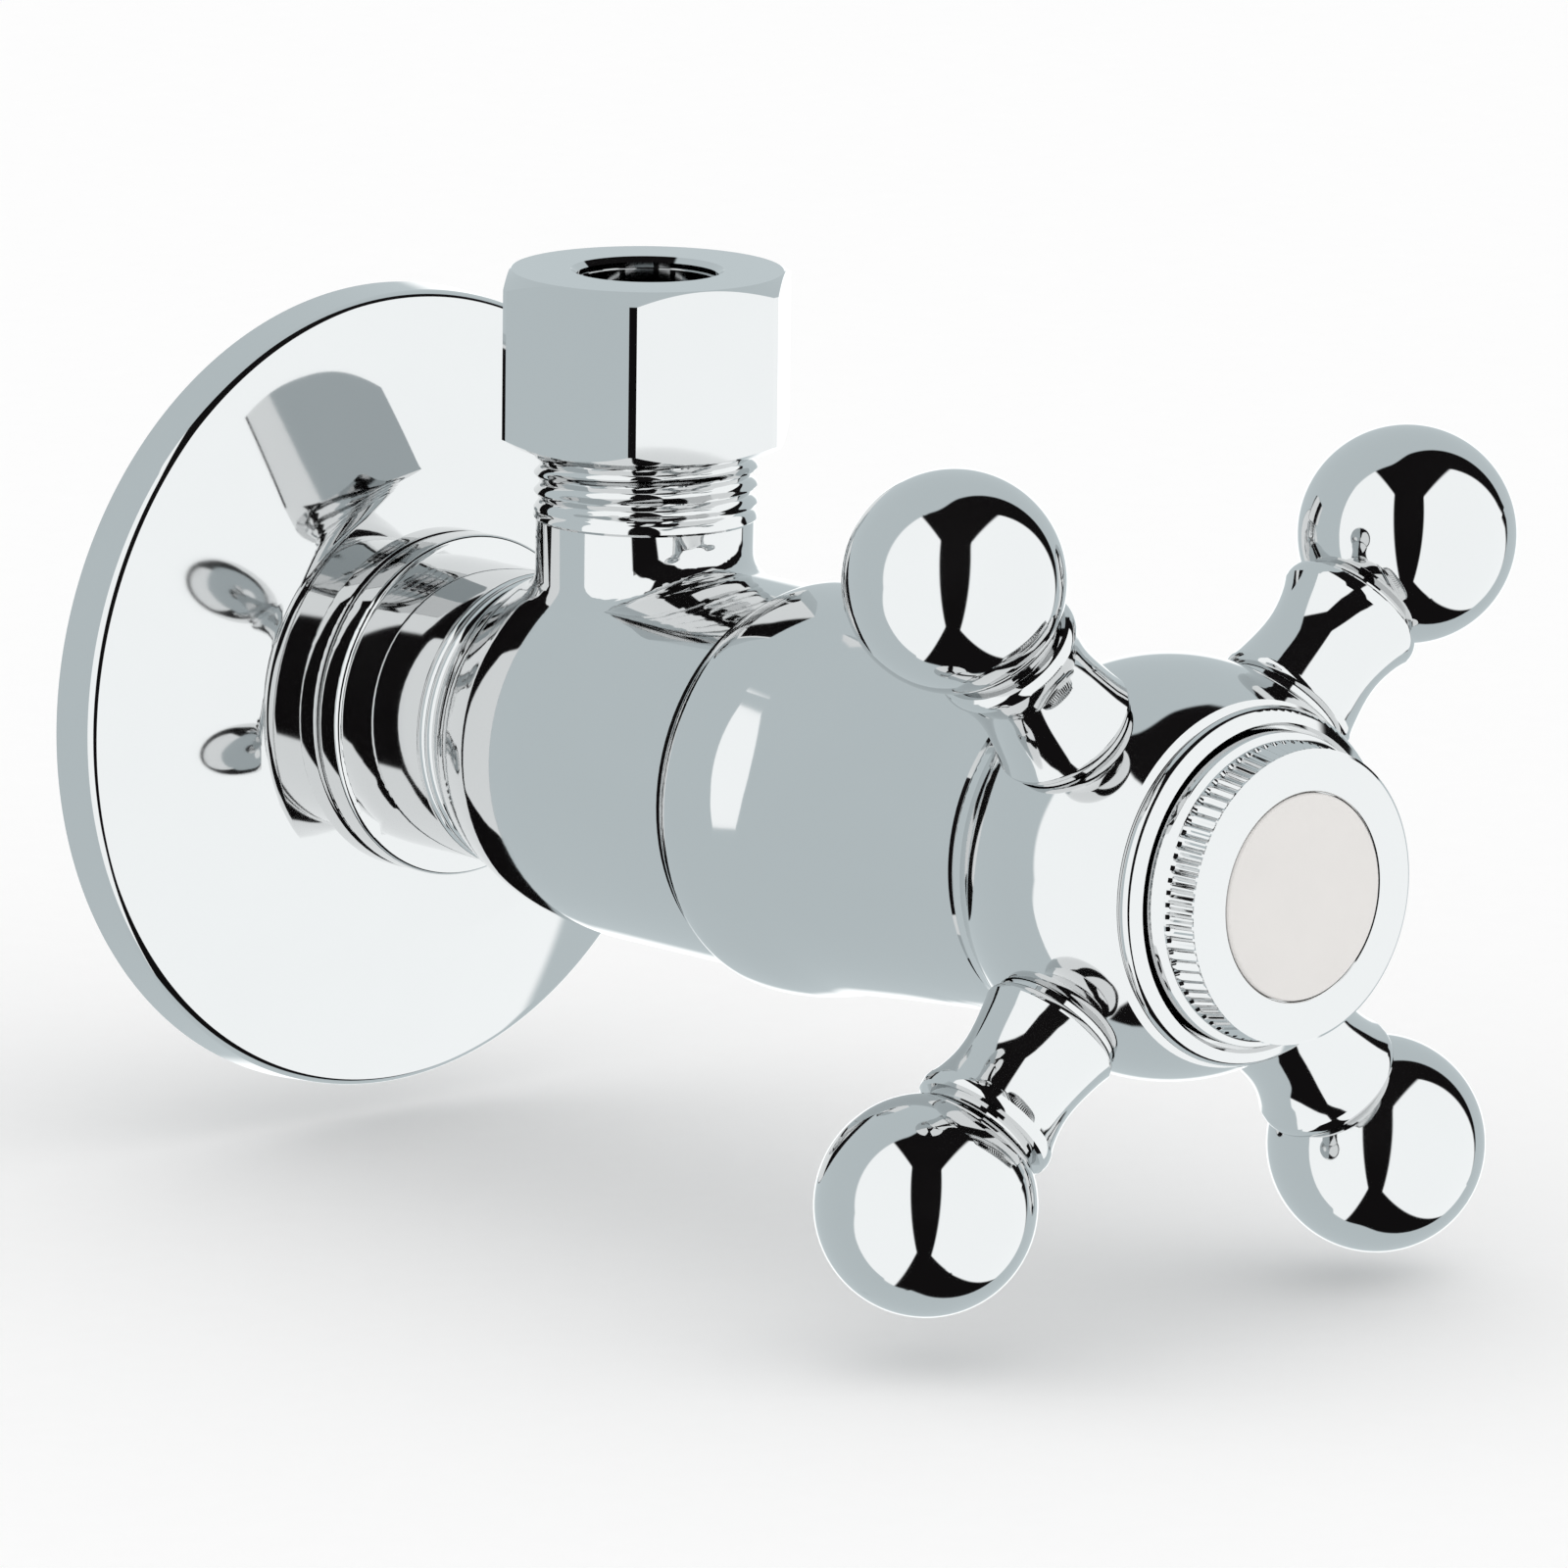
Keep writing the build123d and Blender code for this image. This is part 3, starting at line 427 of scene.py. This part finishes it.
def threaded_body():
    """The body with real threads in place of the plain cylinders of shank and branch."""
    shank_r, shank_start, shank_length, shank_bite, shank_pitch = 10.48, -14.0, 20.6, 0.9, 1.814
    branch_r, branch_start, branch_length, branch_bite, branch_pitch = 8.33, 17.5, 13.2, 0.45, 1.337
    near = 0.03

    def on_cylinder(reach, along, radius, start, length):
        return abs(reach - radius) < near and start - near < along < start + length + near

    def on_thread(vertex):
        x, y, z = vertex.co / MM
        shank = on_cylinder(math.hypot(x, z), -y, shank_r, shank_start, shank_length)
        off_outlet = math.hypot(x, y + OUTLET_DEPTH)
        return shank or on_cylinder(off_outlet, z, branch_r, branch_start, branch_length)

    mesh = node_mesh("valve_body")
    plain = [face for face in mesh.faces if all(on_thread(v) for v in face.verts)]
    bmesh.ops.delete(mesh, geom=plain, context="FACES")
    skin(mesh, thread_rows(on_valve_axis, shank_start, shank_length, shank_r,
                           shank_bite, shank_pitch))
    skin(mesh, thread_rows(on_outlet_axis, branch_start, branch_length, branch_r,
                           branch_bite, branch_pitch))
    finish_piece(mesh, "valve_body_threaded", "valve", "valve_body", "chrome")


def flat_cornered_nut():
    """The nut with a narrow flat ground along each corner."""
    first_corner, corner_reach = 42.8, 11.61
    mesh = node_mesh("compression_nut")
    for k in range(6):
        angle = math.radians(first_corner + 60 * k)
        outwards = Vector((math.cos(angle), math.sin(angle), 0))
        place = on_outlet_axis(corner_reach, angle, 0)
        cut = bmesh.ops.bisect_plane(mesh, geom=mesh.verts[:] + mesh.edges[:] + mesh.faces[:],
                                     plane_co=place, plane_no=outwards, clear_outer=True)
        rim = [item for item in cut["geom_cut"] if isinstance(item, bmesh.types.BMEdge)]
        bmesh.ops.contextual_create(mesh, geom=rim)
    finish_piece(mesh, "compression_nut_cornered", "valve", "compression_nut", "chrome")


def grip_cap():
    """The index cap with the small teeth of its grip band."""
    teeth, per_tooth, tooth_depth = 76, 10, 0.28
    grip_start, grip_length, grip_rows = 98.85, 2.6, 12
    grip_end = grip_start + grip_length
    least_toothed_r = 10.3
    flange_r, grip_r, face_depth, disc_r, disc_depth = 11.45, 10.88, 101.73, 7.63, 100.4
    outline = [(8.0, 88.5), (9.5, 88.5), (9.5, 96.0), (flange_r, 96.0), (flange_r, 98.25),
               (11.39, 98.39), (11.25, 98.45), (10.9, 98.7), (grip_r, grip_start)]
    outline += [(min(grip_r, 10.9 - 0.04 * k), grip_start + grip_length * k / grip_rows)
                for k in range(1, grip_rows)]
    outline += [(10.8, 101.45), (10.74, 101.62), (10.55, face_depth), (7.7, face_depth),
                (disc_r, 101.66), (disc_r, disc_depth), (0.02, disc_depth),
                (0.02, 97.5), (8.0, 97.5)]
    steps = teeth * per_tooth
    rows = []
    for radius, depth in outline:
        # The teeth rise over the first and the last fraction of a millimetre of the band
        edge = min((depth - grip_start) / 0.25, (grip_end + 0.15 - depth) / 0.3, 1.0)
        toothed = radius > least_toothed_r and depth > grip_start
        bite = tooth_depth * max(0.0, edge) if toothed else 0.0
        row = []
        for i in range(steps):
            wave = 0.5 - 0.5 * math.cos(2 * math.pi * i / per_tooth)
            row.append(on_valve_axis(radius - bite * wave, 2 * math.pi * i / steps, depth))
        rows.append(row)
    mesh = bmesh.new()
    skin(mesh, rows, closed=True)
    finish_piece(mesh, "index_cap_grip", "handle", "index_cap", "chrome")


def arc(centre, radius, start, end, count):
    """Points on an arc of the outline, from one angle to another in degrees."""
    turns = (math.radians(start + (end - start) * k / count) for k in range(count + 1))
    return [(centre[0] + radius * math.cos(a), centre[1] + radius * math.sin(a)) for a in turns]


def lathed_rosette():
    """The rosette on a finer round than the solid's, so that its rim mirrors one clean line."""
    side_r, side_slant, hole_r, flange_depth, wall = 30.65, 0.2, 11.1, 9.3, 0.8
    rim_round, dome_round, land_round = 1.15, 155.0, 4.0
    rim_slope, top_slope = 26.4, 21.8
    steps = 288
    rim_cos, rim_sin = math.cos(math.radians(rim_slope)), math.sin(math.radians(rim_slope))
    top_cos, top_sin = math.cos(math.radians(top_slope)), math.sin(math.radians(top_slope))
    dome_rise = dome_round * (top_cos - rim_cos)
    land_rise = land_round * (1 - top_cos)
    rim_side = flange_depth - rim_round * rim_cos - dome_rise - land_rise

    # Centres of the three arcs, and the ends of the dome
    rim = (side_r - side_slant - rim_round, rim_side)
    low_r, low = rim[0] + rim_round * rim_sin, rim[1] + rim_round * rim_cos
    dome = (low_r - dome_round * rim_sin, low - dome_round * rim_cos)
    high_r, high = dome[0] + dome_round * top_sin, dome[1] + dome_round * top_cos
    land = (high_r - land_round * top_sin, high - land_round * top_cos)

    outline = [(side_r, 0.0)]
    outline += arc(rim, rim_round, 0, 90 - rim_slope, 14)
    outline += arc(dome, dome_round, 90 - rim_slope, 90 - top_slope, 24)[1:]
    outline += arc(land, land_round, 90 - top_slope, 90, 8)[1:]
    outline += [(hole_r, flange_depth), (hole_r, flange_depth - wall),
                (land[0], flange_depth - wall),
                (high_r - 0.3, high - wall), (low_r - 0.35, low - wall),
                (side_r - side_slant - wall, rim_side - 0.4), (side_r - wall, 0.0)]
    turns = [2 * math.pi * i / steps for i in range(steps)]
    mesh = bmesh.new()
    skin(mesh, [[on_valve_axis(r, turn, d) for turn in turns] for r, d in outline], closed=True)
    finish_piece(mesh, "wall_rosette_lathed", "valve", "wall_rosette", "chrome")


make_camera()
make_world()
make_floor()
make_surround_card()
finishes = finish_materials()
threaded_body()
flat_cornered_nut()
lathed_rosette()
grip_cap()

scene.view_settings.view_transform = "Standard"
